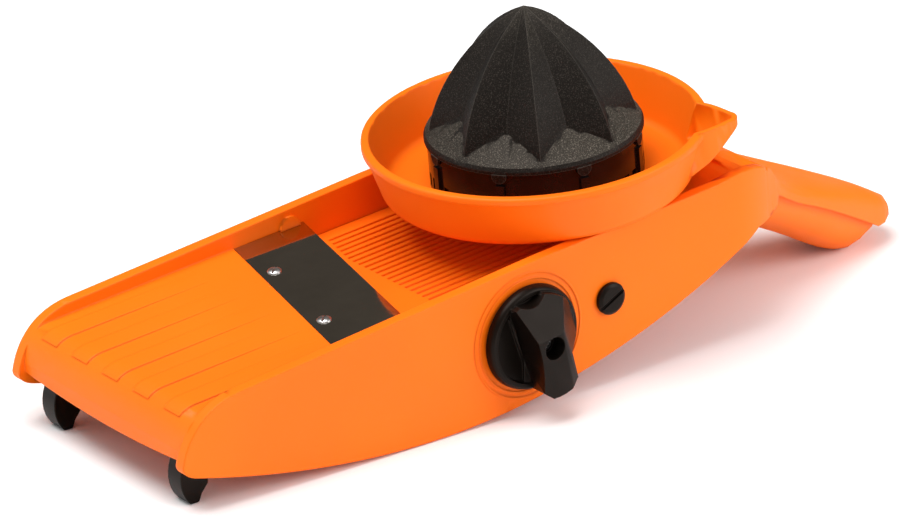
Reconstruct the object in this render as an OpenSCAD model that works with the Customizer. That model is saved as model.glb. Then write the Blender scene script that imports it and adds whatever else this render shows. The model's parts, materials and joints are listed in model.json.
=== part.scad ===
// Hand mandoline slicer with a citrus press that stands on its side walls.
// Everything is drawn in the deck frame: X runs from the nose (-) to the handle (+),
// Y to the far side, Z up from the landing deck, with the press's axis at X = 0.
// The module standing() then tips the whole slicer onto its two feet and its handle.

/* [Body] */
// Width over both side walls
body_w = 118.4; // [100:0.1:140]
// Thickness of the side walls
wall = 5; // [4:0.1:6]
// Thickness of the landing deck and the aprons
deck_t = 3; // [2.4:0.1:4]
// From the press's axis to the tip of the nose
nose_x = 219.7; // [200:0.1:240]
// Height of the side walls above the deck at the nose
wall_nose_h = 4.9; // [3:0.1:7]
// Height of the side walls above the deck where the dish sits
wall_seat_h = 8.6; // [7:0.1:12]
// Depth of the side walls below the deck at their deepest point
keel_h = 51; // [46:0.1:56]
// Number of shallow ribs on the landing deck
deck_ribs = 5; // [3:1:7]
// Height of the ribs at the nose
deck_rib_h = 0.6; // [0.3:0.1:1]
// Depth of the nose apron at its middle
apron_h = 20; // [17:0.5:24]
// Angle that the deck rises towards the handle
deck_rise = 5.5; // [4:0.1:7]

/* [Handle] */
// From the press's axis to the tip of the handle
handle_x = 180; // [165:1:195]
// Wall of the handle's shells
handle_t = 2.6; // [2:0.1:3.5]
// Diameter of the handle's screw posts
post_d = 10; // [8:0.5:12]
// Diameter of the handle's screws
handle_screw_d = 3.5; // [3:0.1:4]

/* [Blade] */
// Length of the blade plate along the deck
blade_l = 34.4; // [28:0.1:40]
// Thickness of the blade plate
blade_t = 1; // [0.8:0.1:1.5]
// Angle of the blade plate's edges to the width
blade_skew = 13.4; // [8:0.1:18]
// Position of the cutting edge on the middle line
blade_edge_x = -92.6; // [-96:0.1:-88]
// Distance between the blade's two screws, across the deck
blade_screw_gap = 49.8; // [40:0.1:60]
// Diameter of the blade screws' heads
blade_screw_head = 6; // [5:0.1:7]

/* [Ramp] */
// Drop of the ramp below the deck at the thickest setting
ramp_drop = 8.4; // [6:0.1:9]
// Thickness of the ramp's plate
ramp_t = 3; // [2.4:0.1:4]
// Number of grooves along the ramp
ramp_grooves = 25; // [15:2:27]
// Width of a groove
groove_w = 1.4; // [1:0.1:2]
// Depth of a groove
groove_h = 1; // [0.5:0.1:1.4]
// Plain border of the ramp beside its grooves
ramp_border = 7.5; // [4:0.1:12]
// Position of the ramp's rear end
ramp_rear_x = 38; // [34:0.5:38]

/* [Crank lift] */
// Position of the knob's axis along the deck
knob_x = -54.8; // [-58:0.1:-50]
// Depth of the knob's axis below the deck
knob_z = 21.4; // [20:0.1:24]
// Position of the slotted screws' axis along the deck
rear_x = -13.5; // [-20:0.1:-8]
// Depth of the slotted screws' axis below the deck
rear_z = 20.2; // [19:0.1:24]
// Throw of the cranks
throw = 5; // [4:0.1:5.2]
// Diameter of the cross rods
rod_d = 4; // [3:0.1:5]
// Diameter of the crank discs
disc_d = 17; // [15:0.5:18]
// Thickness of the crank discs
disc_t = 4.5; // [3.5:0.1:5]
// Diameter of the journals in the side walls
journal_d = 10; // [8:0.1:12]
// Diameter of the slotted screws' heads
pivot_head_d = 13.4; // [11:0.1:16]

/* [Knob] */
// Diameter of the knob
knob_d = 43.6; // [36:0.1:46]
// Thickness of the knob's disc
knob_disc_t = 5; // [4:0.1:7]
// Height of the knob's grip above the wall
knob_h = 16.8; // [14:0.1:20]
// Width of the pointer's end
pointer_w = 17; // [14:0.1:20]
// Diameter of the screw well in the grip
knob_well_d = 9.6; // [8:0.1:11]
// Direction of the pointer, down from the line to the handle
pointer_angle = 90; // [60:1:95]

/* [Feet] */
// Width of a foot
foot_w = 9; // [7:0.1:12]
// Distance between the middles of the feet
foot_gap = 87.2; // [70:0.1:92]
// Depth of the feet's soles below the deck
foot_h = 40.1; // [36:0.1:43]

/* [Dish] */
// Diameter over the dish's rim
dish_d = 140; // [132:0.5:150]
// Outer diameter of the dish at its foot
dish_foot_d = 128; // [120:0.5:134]
// Height of the dish
dish_h = 23.6; // [20:0.1:28]
// Wall of the dish
dish_t = 2.5; // [2:0.1:3]
// Width of the rolled rim
rim_w = 3.5; // [3:0.1:5]
// Reach of the spout's tip from the axis
spout_r = 82; // [77:0.5:86]
// Direction of the spout, from the line to the handle towards the near side
spout_angle = 42; // [30:1:60]

/* [Press] */
// Outer diameter of the strainer
strainer_d = 87; // [80:0.5:92]
// Height of the strainer
strainer_h = 19.4; // [16:0.1:22]
// Slots between two posts of the strainer
strainer_slots = 5; // [3:1:6]
// Number of ridges on the reamer
flutes = 8; // [6:1:10]
// Height of the reamer above its flange's edge
reamer_h = 54; // [48:0.5:60]
// Diameter of the reamer's flange
flange_d = 89; // [84:0.5:94]

/* [Hidden] */
$fn = 64;

orange = "darkorange";
black = "#262626";
steel = "silver";

half_w = body_w / 2;
inner = half_w - wall;
run = 0.05;
slip = 0.3;
cut = 1;

function bez(a, b, c, d, n = 8) =
    [for (i = [0:n]) let (t = i / n, s = 1 - t)
        s * s * s * a + 3 * s * s * t * b + 3 * s * t * t * c + t * t * t * d];
function head(list) = [for (i = [0:len(list) - 2]) list[i]];
function flip(list) = [for (i = [len(list) - 1:-1:0]) list[i]];
function arc(cx, cy, r, a0, a1, n = 8) =
    [for (i = [0:n]) let (a = a0 + (a1 - a0) * i / n) [cx + r * cos(a), cy + r * sin(a)]];

// ---- side outline of the walls ----
foot_x = -nose_x + 9.7;
sole = foot_h * cos(deck_rise) - foot_x * sin(deck_rise) - 0.3;
shoulder_x = -nose_x + 32.7;
deep_x = -77;
root_x = 58;
wall_end_x = 74.4;
nose_tip = [-nose_x, -17];
chin = [-nose_x + 6.5, -23.4];
heel = [66.5, -18.1];
wall_end = [wall_end_x, -6];

// Height of the handle's back over its length, on the middle line
back_root = bez([root_x, wall_seat_h + 1.1], [80, 9], [92, -13], [118, -26.5], 10);
back_tail = bez([118, -26.5], [140, -38], [164, -49.5], [handle_x - 1, -61], 8);
back_line = concat(head(back_root), back_tail);

function at(line, x, i = 0) =
    i >= len(line) - 2 || line[i + 1][0] >= x
        ? line[i][1] + (line[i + 1][1] - line[i][1]) * (x - line[i][0]) / (line[i + 1][0] - line[i][0])
        : at(line, x, i + 1);
function back_z(x) = at(back_line, x);

wall_outline = concat(
    head(bez(
        nose_tip, [-nose_x + 3.4, -5.2], [-nose_x + 13, wall_nose_h + 1], [shoulder_x, wall_nose_h], 14
    )),
    [[-45, wall_seat_h], [45, wall_seat_h]],
    [for (p = back_root) if (p[0] < wall_end_x - 1) p],
    [[wall_end_x, back_z(wall_end_x)]],
    head(bez(wall_end, [wall_end_x - 1, -11], [70, -16.4], heel, 8)),
    head(bez(heel, [20, -keel_h + 10.4], [-35, -keel_h], [deep_x, -keel_h], 16)),
    head(bez([deep_x, -keel_h], [-125, -keel_h], [-175, -38], chin, 16)),
    head(bez(chin, [-nose_x + 2.2, -22], [-nose_x - 0.2, -19.6], nose_tip, 7))
);

module along_y(y0, y1) {
    // Gives an X-Z outline the span y0 to y1
    translate([0, y1, 0])
        rotate([90, 0, 0])
            linear_extrude(y1 - y0)
                children();
}

module standing() {
    // From the deck frame to the slicer standing on its feet and its handle
    translate([-mid_x, -mid_y, sole])
        rotate([0, -deck_rise, 0])
            children();
}

module below_table() {
    // Everything below the plane that the slicer stands on, in the deck frame
    rotate([0, deck_rise, 0])
        translate([-400, -200, -sole - 100])
            cube([800, 400, 100]);
}

// ---- the deck, its ribs and the throat ----
skew = tan(blade_skew);
perp = cos(blade_skew);
blade_rear_x = blade_edge_x - blade_l;
ledge_l = 17;
ledge_x = blade_rear_x + ledge_l;
deck_front = -nose_x + 15.5;
hem_x = deck_front - 12.5;
function skewed(x, y) = x + y * skew;

module skew_plate(x0, x1, y, z0, z1) {
    // A parallelogram between two skewed edges
    translate([0, 0, z0])
        linear_extrude(z1 - z0)
            polygon([[skewed(x0, -y), -y], [skewed(x1, -y), -y], [skewed(x1, y), y], [skewed(x0, y), y]]);
}

module deck_plate() {
    y = inner + cut;
    translate([0, 0, -deck_t])
        linear_extrude(deck_t)
            polygon([[deck_front, -y], [skewed(ledge_x, -y), -y], [skewed(ledge_x, y), y], [deck_front, y]]);
}

// The roll from the deck over the nose, drawn in by an inset
function roll(inset, n = 10) = bez(
    [deck_front, -inset], [deck_front - 7.5, -0.2 - inset],
    [hem_x + 2 + inset * 0.8, -5 - inset * 0.7], [hem_x + 0.2 + inset, -13], n);

module apron() {
    // The deck rolls over the nose into an apron with a bowed lower edge
    bow = 3.5;
    intersection() {
        along_y(-inner - cut, inner + cut)
            polygon(concat(
                [[deck_front + cut, -deck_t], [deck_front + cut, 0]],
                roll(0),
                [[hem_x, -apron_h - 2], [hem_x + deck_t, -apron_h - 2]],
                flip(roll(deck_t))
            ));
        translate([deck_front + 2 * cut, 0, 0])
            rotate([90, 0, -90])
                linear_extrude(24)
                    polygon(concat(
                        [[half_w, 1], [-half_w, 1]],
                        [for (i = [0:12]) let (a = i / 6 - 1) [a * half_w, -apron_h + bow * a * a]]
                    ));
    }
}

rib_pitch = 2 * inner / (deck_ribs + 0.15);
module ribs_on_deck() {
    rib_l = 66;
    heads = [for (p = roll(-deck_rib_h)) if (p[1] > -2.4) p];
    for (i = [0:deck_ribs - 1])
        translate([0, (i - (deck_ribs - 1) / 2) * rib_pitch, 0])
            along_y(-rib_pitch / 4, rib_pitch / 4)
                polygon(concat(
                    [[deck_front + rib_l, -cut], [deck_front + rib_l, 0.02]],
                    heads,
                    [[heads[len(heads) - 1][0] + 1.5, -cut - 2]]
                ));
}

beam_h = 9;
beam_t = 3;
module throat_beam() {
    // Stiffening beam under the blade's ledge, with three webs that run back from it
    skew_plate(ledge_x - beam_t, ledge_x, inner + cut, -beam_h, -deck_t / 2);
    web_x = deck_front + 30;
    for (y = [-34, 0, 34])
        translate([0, y, 0])
            along_y(-1.25, 1.25)
                polygon([
                    [web_x, -deck_t / 2], [web_x, -deck_t], [web_x + 40, -beam_h + 1],
                    [skewed(ledge_x, y) - beam_t / 2, -beam_h + 1], [skewed(ledge_x, y) - beam_t / 2, -deck_t / 2]
                ]);
}

lug_r = 4.8;
lug_x = blade_edge_x - 7.1;
module blade_holders() {
    // Half-round lugs over the blade's ends, and shelves under them
    for (s = [-1, 1]) {
        along_y(s * inner - 2, s * inner + 2)
            translate([skewed(lug_x, s * inner), 0])
                polygon(arc(0, 0, lug_r, 0, 180, 16));
        along_y(s * inner - 2, s * inner + 2)
            translate([skewed(ledge_x, s * inner), 0])
                polygon([[-4, -blade_t], [-4, -deck_t - 2], [11, -deck_t], [12.5, -blade_t]]);
    }
}

module entry_deck() {
    // Fixed deck behind the ramp, which rises into the handle's back
    lip_x = ramp_rear_x + 1.5;
    end_x = root_x + 7;
    end_z = back_z(end_x) - 1.2;
    top = bez([lip_x, 0], [lip_x + 8, 0], [end_x - 13, wall_seat_h], [end_x, end_z], 8);
    along_y(-inner - cut, inner + cut)
        polygon(concat(
            top,
            [[end_x, end_z - deck_t]],
            [for (p = flip(head(top))) [p[0] + 1.2, p[1] - deck_t]],
            [[lip_x, -deck_t - 4]]
        ));
}

module dish_clearance() {
    // Room under the dish's foot, between the walls
    intersection() {
        translate([0, 0, wall_seat_h - slip])
            cylinder(r = dish_foot_d / 2 + 0.5, h = dish_h);
        cube([dish_d, 2 * inner, 4 * dish_h], center = true);
    }
}

// ---- handle shells ----
rest_x = 152;
rest_z = -(sole + rest_x * sin(deck_rise)) / cos(deck_rise) - 0.9;
rim_line = concat(
    [[root_x, -2]],
    head(bez([wall_end_x - 8, -4], [wall_end_x + 6, -8], [95, -21.5], [106, -28.6], 5)),
    bez([106, -28.6], [122, -37], [145, -52.5], [handle_x - 15, -66.5], 6)
);
plan_line = concat(
    [[root_x, half_w]],
    head(bez([wall_end_x - 8, half_w], [wall_end_x + 3.6, half_w], [wall_end_x + 5, 45], [91, 42], 6)),
    head(bez([91, 42], [110, 33.5], [150, 23], [handle_x - 10, 15], 8)),
    bez([handle_x - 10, 15], [handle_x - 5, 12.5], [handle_x - 1.2, 8], [handle_x, 2], 4)
);
keel_line = concat(
    head(bez([wall_end_x - 6, -26], [90, -39], [100, -45], [116, -55], 5)),
    head(bez([116, -55], [132, -65.5], [142, rest_z + 0.8], [rest_x, rest_z], 6)),
    bez([rest_x, rest_z], [157, rest_z - 0.2], [163, -70], [handle_x - 13, -67.5], 4)
);
tip_line = [[handle_x - 15, at(rim_line, handle_x - 15)], [handle_x - 7, -66], [handle_x, -63.2]];
function rim_z(x) = at(rim_line, x);
function plan_y(x) = at(plan_line, x);
function keel_z(x) = at(keel_line, x);
function edge_z(x) = x < handle_x - 15 ? rim_z(x) : at(tip_line, x);

arch_n = 16;
function arch(x, w, z0, z1, e) =
    [for (i = [0:arch_n]) let (a = 180 * i / arch_n)
        [x, w * sign(cos(a)) * pow(abs(cos(a)), e), z0 + (z1 - z0) * pow(abs(sin(a)), e)]];
function stations(x0, x1, n) = [for (i = [0:n]) x0 + (x1 - x0) * i / n];

module loft(rings) {
    // Skin over equal rings, each listed clockwise as seen from before the first
    n = len(rings[0]);
    m = len(rings);
    polyhedron(
        points = [for (r = rings) for (p = r) p],
        faces = concat(
            [[for (i = [0:n - 1]) i]],
            [for (j = [0:m - 2]) for (i = [0:n - 1]) let (k = (i + 1) % n, a = j * n, b = a + n)
                [a + i, b + i, b + k]],
            [for (j = [0:m - 2]) for (i = [0:n - 1]) let (k = (i + 1) % n, a = j * n, b = a + n)
                [a + i, b + k, a + k]],
            [[for (i = [n - 1:-1:0]) (m - 1) * n + i]]
        )
    );
}

cover_start = wall_end_x + 2.6;
cover_end = handle_x - 17;
boxy = 0.62;
module back_shell() {
    // The handle's back: a boxy arch that narrows from the walls to the tip
    difference() {
        loft([for (x = stations(root_x + 2, handle_x, 22)) arch(x, plan_y(x), edge_z(x), back_z(x), boxy)]);
        loft([for (x = stations(root_x + 1, cover_end + slip, 18))
            arch(x, plan_y(x) - handle_t, rim_z(x) - 2, back_z(x) - handle_t, boxy)]);
        cover_solid(-slip);
    }
}

post_x = [104, 138];
screw_seat = 6;
pilot_d = handle_screw_d - 0.6;
function split_z(x) = rim_z(x) - 4;
module handle_posts() {
    for (x = post_x)
        difference() {
            translate([x, 0, split_z(x)])
                cylinder(d = post_d, h = back_z(x + post_d / 2) - split_z(x) - 0.6);
            translate([x, 0, split_z(x) - cut])
                cylinder(d = pilot_d, h = 12);
        }
}

cover_round = 0.8;
module cover_solid(inset) {
    // Lower half of the grip, drawn in on all sides but the top by the inset
    lid = abs(inset) > 0 ? cut : 0;
    loft([for (i = [0:14]) let (
            x = cover_start + (cover_end - cover_start) * i / 14,
            s = i == 0 ? x + inset : i == 14 ? x - inset : x)
        flip(arch(s, plan_y(x) - handle_t - slip - inset, rim_z(x) + 2 + lid, keel_z(x) + inset, cover_round))]);
}

module handle_cover() {
    color(orange)
        standing()
            difference() {
                union() {
                    difference() {
                        cover_solid(0);
                        cover_solid(handle_t);
                    }
                    intersection() {
                        cover_solid(0);
                        for (x = post_x)
                            translate([x, 0, keel_z(x) - 5])
                                cylinder(d = post_d, h = split_z(x) - keel_z(x) + 5);
                    }
                }
                for (x = post_x) {
                    translate([x, 0, split_z(x) - screw_seat - cut])
                        cylinder(d = handle_screw_d + 0.4, h = screw_seat + 2 * cut);
                    translate([x, 0, keel_z(x) - 10])
                        cylinder(d = handle_screw_d * 2 + 0.4, h = split_z(x) - screw_seat - keel_z(x) + 10);
                }
                below_table();
            }
}

module slotted_head(d, h) {
    // A low domed head on its seat, with a driver slot across its top
    difference() {
        rotate_extrude()
            polygon([
                [0, 0], [d / 2, 0], [d / 2, h * 0.25], [d * 0.43, h * 0.6], [d * 0.3, h * 0.88], [0, h]
            ]);
        translate([-d, -d / 14, h * 0.45])
            cube([2 * d, d / 7, h]);
    }
}

module handle_screws() {
    color(steel)
        standing()
            for (x = post_x)
                translate([x, 0, split_z(x) - screw_seat]) {
                    cylinder(d = pilot_d - 0.04, h = screw_seat + 9);
                    mirror([0, 0, 1])
                        slotted_head(handle_screw_d * 2, 2);
                }
}

// ---- body ----
socket_t = 1.5;
module foot_sockets() {
    // A pair of cheeks beside each foot
    for (side = [-1, 1])
        for (s = [-1, 1])
            translate([foot_x, side * foot_gap / 2 + s * (foot_w / 2 + 0.1 + socket_t / 2), 0])
                along_y(-socket_t / 2, socket_t / 2)
                    polygon([[3, -deck_t / 2], [3, -10], [12, -10], [15, -deck_t / 2]]);
}

disc_out = inner - 0.5;
disc_in = disc_out - disc_t;
spring_z = -knob_z - disc_d / 2 - 0.4;
spring_t = 0.5;
spring_w = 4.2;
peg_d = 3;
peg_x = [knob_x - 13, knob_x + 13];
module spring_pegs() {
    // The leaf spring rests on two pegs, and a third holds its front end down
    drop = [[peg_x[0], -spring_t - peg_d / 2], [peg_x[1], -spring_t - peg_d / 2], [peg_x[0] - 1, peg_d / 2]];
    for (p = drop)
        translate([p[0], -disc_in + 0.2, spring_z + p[1]])
            rotate([90, 0, 0])
                cylinder(d = peg_d, h = disc_t + 2);
}

module dial_rings() {
    // Raised rings on the wall round the knob
    translate([knob_x, -half_w, -knob_z])
        rotate([90, 0, 0])
            for (r = [knob_d / 2 + 2.4, knob_d / 2 + 4.8])
                difference() {
                    cylinder(r = r, h = 0.8, center = true);
                    cylinder(r = r - 0.7, h = 2, center = true);
                }
}

module journal_holes() {
    for (p = [[knob_x, -knob_z], [rear_x, -rear_z]])
        translate([p[0], 0, p[1]])
            rotate([90, 0, 0])
                cylinder(d = journal_d + 2 * run, h = 2 * body_w, center = true);
}

blade_screw_d = 3;
module at_blade_screws() {
    x = blade_rear_x + 6.2;
    for (y = [-blade_screw_gap / 2, blade_screw_gap / 2])
        translate([skewed(x, y), y, 0])
            children();
}

module body() {
    color(orange)
        standing()
            difference() {
                union() {
                    for (s = [-1, 1])
                        along_y(s > 0 ? inner : -half_w, s > 0 ? half_w : -inner)
                            polygon(wall_outline);
                    difference() {
                        deck_plate();
                        skew_plate(blade_rear_x - 0.15, ledge_x + 5, inner + 2 * cut, -blade_t, cut);
                    }
                    apron();
                    ribs_on_deck();
                    throat_beam();
                    blade_holders();
                    entry_deck();
                    back_shell();
                    handle_posts();
                    foot_sockets();
                    spring_pegs();
                    dial_rings();
                }
                dish_clearance();
                journal_holes();
                at_blade_screws()
                    cylinder(d = blade_screw_d + 0.3, h = 20, center = true);
            }
}

// ---- blade ----
module blade() {
    bevel = 2.4;
    rear = -blade_l * perp;
    color(steel)
        standing()
            difference() {
                intersection() {
                    translate([blade_edge_x, 0, 0])
                        rotate([0, 0, -blade_skew])
                            along_y(-80, 80)
                                polygon([[rear, -blade_t], [rear, 0], [0, 0], [0, -0.15], [-bevel, -blade_t]]);
                    cube([600, 2 * (inner - slip), 10], center = true);
                }
                at_blade_screws()
                    cylinder(d = blade_screw_d + 0.3, h = 20, center = true);
            }
}

module blade_screws() {
    color(steel)
        standing()
            at_blade_screws() {
                translate([0, 0, -6])
                    cylinder(d = blade_screw_d, h = 6);
                rotate([0, 0, 38])
                    slotted_head(blade_screw_head, 1.1);
            }
}

module blade_nuts() {
    nut_w = 5.5;
    nut_t = 2.4;
    color(steel)
        standing()
            at_blade_screws()
                translate([0, 0, -deck_t - nut_t])
                    difference() {
                        translate([-nut_w / 2, -nut_w / 2, 0])
                            cube([nut_w, nut_w, nut_t]);
                        translate([0, 0, -cut])
                            cylinder(d = blade_screw_d + 0.04, h = 5);
                    }
}

// ---- ramp ----
ramp_top = -ramp_drop;
ramp_base = ramp_top - ramp_t;
ramp_half = inner - 0.5;
ramp_front_x = blade_edge_x + 4.8;
ear_y = disc_in - 5.2;
ear_t = 6;
eye_d = rod_d + 5;
groove_pitch = 2 * (ramp_half - ramp_border) / (ramp_grooves - 1);
groove_x = ramp_front_x + 9.8;
function groove_start(y) = max(groove_x, skewed(ramp_front_x, y) + 3.6);

module ramp_ears(x, z, bore) {
    // Two hanging eyes that a cross rod runs through
    for (s = [-1, 1])
        translate([x, s * ear_y, 0])
            difference() {
                union() {
                    along_y(-ear_t / 2, ear_t / 2)
                        polygon([
                            [-eye_d, ramp_base + 1], [eye_d, ramp_base + 1], [eye_d / 2, z], [-eye_d / 2, z]
                        ]);
                    translate([0, 0, z])
                        rotate([90, 0, 0])
                            cylinder(d = eye_d, h = ear_t, center = true);
                }
                translate([0, 0, z])
                    rotate([90, 0, 0])
                        cylinder(d = bore, h = ear_t * 2, center = true);
            }
}

module ramp() {
    web_t = 1.6;
    web_h = 5;
    web_x = ramp_front_x + 10.2;
    color(orange)
        standing() {
            difference() {
                translate([0, 0, ramp_base])
                    linear_extrude(ramp_t)
                        polygon([
                            [skewed(ramp_front_x, -ramp_half), -ramp_half], [ramp_rear_x, -ramp_half],
                            [ramp_rear_x, ramp_half], [skewed(ramp_front_x, ramp_half), ramp_half]
                        ]);
                for (i = [0:ramp_grooves - 1]) {
                    y = (i - (ramp_grooves - 1) / 2) * groove_pitch;
                    translate([groove_start(y), y - groove_w / 2, ramp_top - groove_h])
                        cube([ramp_rear_x - groove_start(y) + cut, groove_w, groove_h + cut]);
                }
            }
            for (y = [-22, 0, 22])
                translate([0, y, 0])
                    along_y(-web_t / 2, web_t / 2)
                        polygon([
                            [web_x, ramp_base + 1], [web_x + 12, ramp_base - web_h],
                            [ramp_rear_x - 12, ramp_base - web_h], [ramp_rear_x, ramp_base + 1]
                        ]);
            ramp_ears(knob_x, -knob_z - throw, rod_d + 2 * run);
            ramp_ears(rear_x, -rear_z - throw, rod_d + 2 * slip);
        }
}

// ---- crank lift ----
stub_out = half_w + slip;
knob_screw_d = 3;
pivot_screw_d = 5;
crank_turn = 128;
clicks = 6;
square_w = 7;
square_l = 8;

module at_axis(x, z, side) {
    // Local Z runs outwards along the axis, on the near or the far side
    translate([x, 0, z])
        rotate([90, 0, 0])
            mirror([0, 0, side > 0 ? 1 : 0])
                children();
}
module cylinder_between(d, z0, z1) {
    translate([0, 0, z0])
        cylinder(d = d, h = z1 - z0);
}

module crank(x, z, side, bore) {
    // A disc inside the wall and its journal, with holes for the cross rod and the screw
    at_axis(x, z, side)
        difference() {
            union() {
                cylinder_between(disc_d, disc_in, disc_out);
                cylinder_between(journal_d, disc_out - cut, stub_out);
            }
            translate([0, -throw, 0])
                cylinder_between(rod_d + 0.04, disc_in - cut, disc_out - 0.8);
            cylinder_between(bore + 0.04, disc_in - cut, stub_out + cut);
        }
}

module front_crank_near() {
    // Notched for the clicks, with a squared end that carries the knob
    color(black)
        standing() {
            difference() {
                crank(knob_x, -knob_z, -1, knob_screw_d);
                at_axis(knob_x, -knob_z, -1)
                    for (i = [0:clicks])
                        rotate([0, 0, -90 + crank_turn * i / clicks])
                            translate([disc_d / 2 + 0.5, 0, 0])
                                cylinder_between(2, disc_in - cut, disc_out + 0.2);
            }
            at_axis(knob_x, -knob_z, -1)
                difference() {
                    translate([-square_w / 2, -square_w / 2, stub_out - 0.1])
                        cube([square_w, square_w, square_l]);
                    cylinder_between(knob_screw_d + 0.04, stub_out - cut, stub_out + square_l + cut);
                }
        }
}
module front_crank_far() {
    color(black)
        standing()
            crank(knob_x, -knob_z, 1, pivot_screw_d);
}
module rear_crank_near() {
    color(black)
        standing()
            crank(rear_x, -rear_z, -1, pivot_screw_d);
}
module rear_crank_far() {
    color(black)
        standing()
            crank(rear_x, -rear_z, 1, pivot_screw_d);
}

module cross_rod(x, z) {
    color(steel)
        standing()
            translate([x, 0, z - throw])
                rotate([90, 0, 0])
                    cylinder(d = rod_d, h = 2 * (disc_out - 0.9), center = true);
}
module front_rod() {
    cross_rod(knob_x, -knob_z);
}
module rear_rod() {
    cross_rod(rear_x, -rear_z);
}

module pivot_screw(x, z, side, turn) {
    // Broad slotted screw that holds a crank's journal from outside the wall
    head_h = 2.5;
    bevel = 0.9;
    color(black)
        standing()
            at_axis(x, z, side) {
                cylinder_between(pivot_screw_d, disc_in + slip, stub_out);
                translate([0, 0, stub_out])
                    rotate([0, 0, turn])
                        difference() {
                            rotate_extrude()
                                polygon([
                                    [0, 0], [pivot_head_d / 2, 0], [pivot_head_d / 2, head_h - bevel],
                                    [pivot_head_d / 2 - 1.4, head_h], [0, head_h]
                                ]);
                            translate([-pivot_head_d, -0.8, head_h - 1.2])
                                cube([2 * pivot_head_d, 1.6, 2]);
                        }
            }
}
module pivot_screw_near() {
    pivot_screw(rear_x, -rear_z, -1, 23);
}
module pivot_screw_far() {
    pivot_screw(rear_x, -rear_z, 1, -30);
}
module crank_screw_far() {
    pivot_screw(knob_x, -knob_z, 1, 15);
}

module detent_spring() {
    // Leaf spring under the near crank's notches
    curl = 2.5;
    color(steel)
        standing()
            along_y(-disc_in - spring_w, -disc_in)
                polygon([
                    [peg_x[0] - 4, spring_z - spring_t], [peg_x[0] - 4, spring_z], [peg_x[1] + 2, spring_z],
                    [peg_x[1] + 4, spring_z - curl], [peg_x[1] + 3.4, spring_z - curl - 0.3],
                    [peg_x[1] + 1.8, spring_z - spring_t]
                ]);
}

// ---- knob ----
knob_stand = 0.8;
knob_y = half_w + knob_stand;
knob_r = knob_d / 2;
screw_floor = square_l + 1.4;
module at_knob() {
    translate([0, -knob_y, 0])
        at_axis(knob_x, -knob_z, -1)
            children();
}

// The grip's top is a bar along the pointer that fans out towards the other end.
// Beside it the right shoulder slopes down to the rim, and the left side is scooped out.
grip_left = -pointer_w / 2 + 1.6;
grip_right = pointer_w / 2 - 3.6;
disc_edge = knob_r * 0.93;
module grip_plan() {
    left = bez(
        [grip_left, -knob_r * 0.8], [grip_left + 1.6, -6], [grip_left + 0.4, 1],
        [-knob_r * 0.5, knob_r * 0.78], 8
    );
    polygon(concat(
        left,
        arc(0, 0, disc_edge - 0.7, 120, -14, 14),
        [[pointer_w / 2 + 1.4, -6.5], [pointer_w / 2 + 3.6, -knob_r * 0.83]],
        arc(0, 0, knob_r * 0.98, -58, -97, 5)
    ));
}

module slope_off(x, y, turn, fall) {
    // Cuts off what is above a plane that falls to the local right of a line
    translate([x, y, knob_h])
        rotate([0, 0, turn])
            rotate([0, fall, 0])
                translate([0, -knob_d, 0])
                    cube([2 * knob_d, 2 * knob_d, 2 * knob_d]);
}

module along_rib() {
    // Foot of the rib, a straight line that leans towards the pointer's end
    rotate([0, 0, 13.8])
        translate([-knob_r * 0.355, 0, knob_disc_t - 1])
            children();
}

module knob_grip() {
    difference() {
        linear_extrude(knob_h)
            grip_plan();
        // right shoulder, down to the rim
        difference() {
            slope_off(grip_right, 6, 10, 43);
            translate([0, -2 * knob_d - 6.6, 0])
                cube([2 * knob_d, 2 * knob_d, 2 * knob_d]);
        }
        // bevel along the pointer's right edge
        slope_off(grip_right + 0.6, -6, 6, 28);
        // top of the fan, and the scoop behind it
        slope_off(0, 5, 94, 35);
        translate([-knob_r * 0.15, knob_r * 1.24, 2.5])
            cylinder(r = knob_r * 0.5, h = knob_h);
        // undercut of the pointer's left flank, up from the rib
        along_rib()
            rotate([0, -14, 0])
                translate([-knob_d, -knob_d, 0])
                    cube([knob_d, 2 * knob_d, 2 * knob_d]);
    }
}

module knob_disc() {
    // A disc with a rounded rim and a pocket inside it
    rim = 1.6;
    pocket = 2.6;
    rotate_extrude()
        polygon(concat(
            [[0, 0], [knob_r - 0.5, 0]],
            bez(
                [knob_r, 0.6], [knob_r, 2.4], [knob_r - 0.4, knob_disc_t - 1],
                [disc_edge, knob_disc_t - 0.6], 5
            ),
            [[disc_edge - rim, knob_disc_t - 0.6], [disc_edge - rim - 0.4, knob_disc_t - pocket],
                [0, knob_disc_t - pocket]]
        ));
}

module knob() {
    color(black)
        standing()
            at_knob()
                rotate([0, 0, 90 - pointer_angle])
                    difference() {
                        union() {
                            knob_disc();
                            knob_grip();
                            // thin rib across the pocket, beside the pointer
                            along_rib()
                                translate([-0.35, -knob_r * 0.84, -2])
                                    cube([0.7, knob_r * 1.5, 1.6]);
                        }
                        cylinder_between(knob_well_d, screw_floor, knob_h + cut);
                        cylinder_between(knob_screw_d + 0.3, -cut, knob_h);
                        rotate([0, 0, pointer_angle - 90])
                            translate([-square_w / 2 - run, -square_w / 2 - run, -cut])
                                cube([square_w + 2 * run, square_w + 2 * run, square_l + cut]);
                    }
}

module knob_screw() {
    color(steel)
        standing()
            at_knob() {
                cylinder_between(knob_screw_d, -4, screw_floor);
                translate([0, 0, screw_floor])
                    slotted_head(knob_screw_d * 2, 2.2);
            }
}

module knob_washer() {
    washer_t = knob_stand - slip;
    color(steel)
        standing()
            at_knob()
                difference() {
                    cylinder_between(journal_d + 6, -washer_t, 0);
                    cylinder_between(square_w + 3.2, -washer_t - cut, cut);
                }
}

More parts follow.
